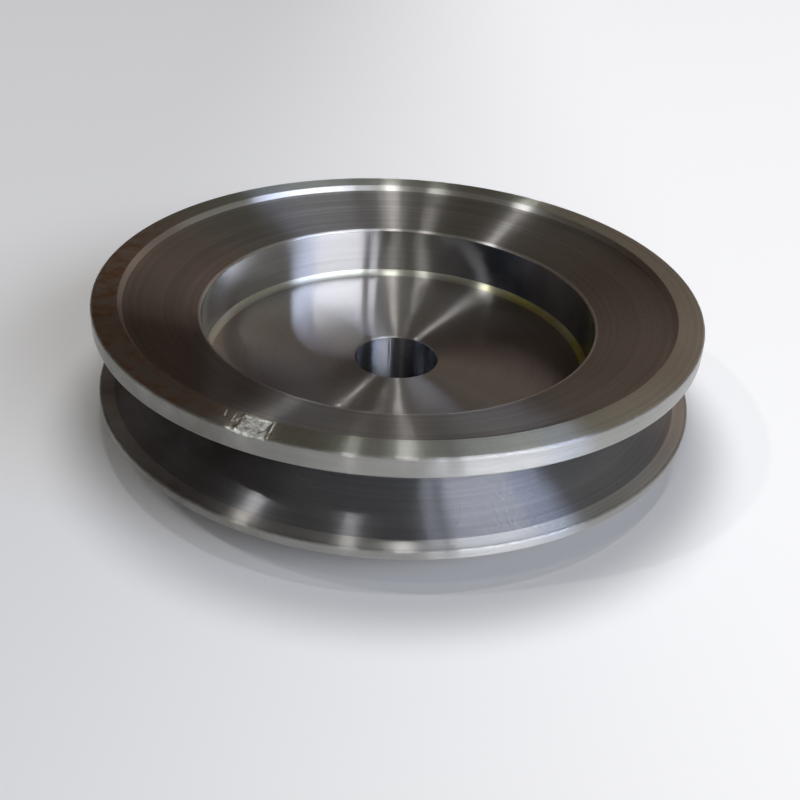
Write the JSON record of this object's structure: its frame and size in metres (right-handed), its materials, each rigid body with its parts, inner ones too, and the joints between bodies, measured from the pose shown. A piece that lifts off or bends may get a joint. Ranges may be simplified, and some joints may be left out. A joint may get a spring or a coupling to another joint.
{
  "type": "v-belt pulley",
  "caption": "V-belt pulley turned from steel, with a dished face, a deep round recess and a plain shaft bore through a short rear hub.",
  "frame": {"origin": "centre of the bore at the end face of the rear hub, which is the lowest face", "axes": "+Z along the bore, from the rear hub towards the recessed front face; the dent on the rim is at 248 degrees from +X towards +Y"},
  "size_m": [0.14, 0.14, 0.034],
  "materials": {
    "turned_steel": "fine concentric turning marks, bare metal with a light stain on the rim"
  },
  "bodies": {
    "root": {"pulley": "turned_steel"}
  },
  "joints": []
}
